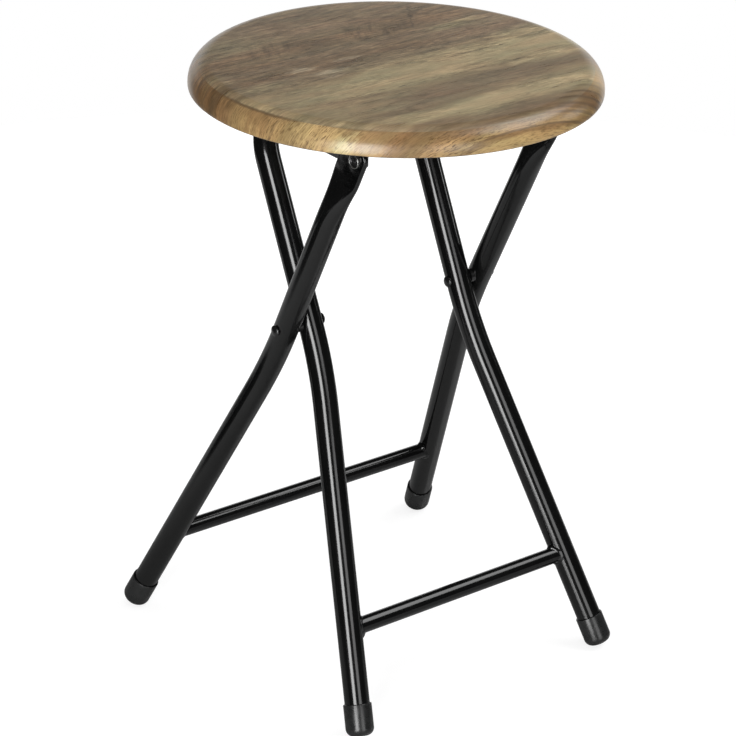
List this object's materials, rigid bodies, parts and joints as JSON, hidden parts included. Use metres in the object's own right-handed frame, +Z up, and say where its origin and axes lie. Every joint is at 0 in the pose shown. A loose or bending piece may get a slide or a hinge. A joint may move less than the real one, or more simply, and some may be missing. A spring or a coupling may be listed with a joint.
{
  "type": "folding stool",
  "caption": "Folding stool with a round wood-effect seat on two crossed, splayed frames of black tube with foot sleeves; the seat lifts on its hinge rivets as the frames close.",
  "frame": {"origin": "on the floor under the middle of the seat, with the stool open", "axes": "+Z up, +X along the pivot rivets to the right, -Y to the front, where the inner frame's feet stand"},
  "size_m": [0.3074, 0.3048, 0.4723],
  "materials": {
    "seat_wood": "satin wood-effect foil, golden brown",
    "frame_paint": "gloss black paint",
    "rail_paint": "satin black paint",
    "rivet_steel": "gloss black rivet heads",
    "screw_steel": "zinc-plated",
    "washer_nylon": "black nylon",
    "catch_plastic": "moulded black plastic",
    "cap_rubber": "matte black foot sleeve"
  },
  "bodies": {
    "outer_frame": {"outer_leg_left": "frame_paint", "outer_leg_right": "frame_paint", "outer_stretcher": "frame_paint", "outer_foot_left": "cap_rubber", "outer_foot_right": "cap_rubber", "hinge_rivet_left": "rivet_steel", "hinge_rivet_right": "rivet_steel", "hinge_washer_left": "washer_nylon", "hinge_washer_right": "washer_nylon", "pivot_rivet_left": "rivet_steel", "pivot_rivet_right": "rivet_steel", "pivot_washer_left": "washer_nylon", "pivot_washer_right": "washer_nylon"},
    "inner_frame": {"inner_tube": "frame_paint", "inner_stretcher": "frame_paint", "inner_foot_left": "cap_rubber", "inner_foot_right": "cap_rubber"},
    "seat": {"seat_board": "seat_wood", "hinge_rail_left": "rail_paint", "hinge_rail_right": "rail_paint", "crossbar_catch": "catch_plastic", "rail_screw_left_1": "screw_steel", "rail_screw_left_2": "screw_steel", "rail_screw_left_3": "screw_steel", "rail_screw_right_1": "screw_steel", "rail_screw_right_2": "screw_steel", "rail_screw_right_3": "screw_steel", "catch_screw_front": "screw_steel", "catch_screw_back": "screw_steel"}
  },
  "joints": [
    {"name": "seat_lift", "type": "hinge", "parent": "outer_frame", "child": "seat", "pos_m": [0, -0.07533, 0.4373], "axis": [1, 0, 0], "range_deg": [0, 116]},
    {"name": "frame_fold", "type": "hinge", "parent": "outer_frame", "child": "inner_frame", "pos_m": [0, 0.0064, 0.279], "axis": [1, 0, 0], "range_deg": [0, 47.8]}
  ],
  "couplings": [
    {"joint": "frame_fold", "follows": "seat_lift", "ratio": 0.412}
  ]
}
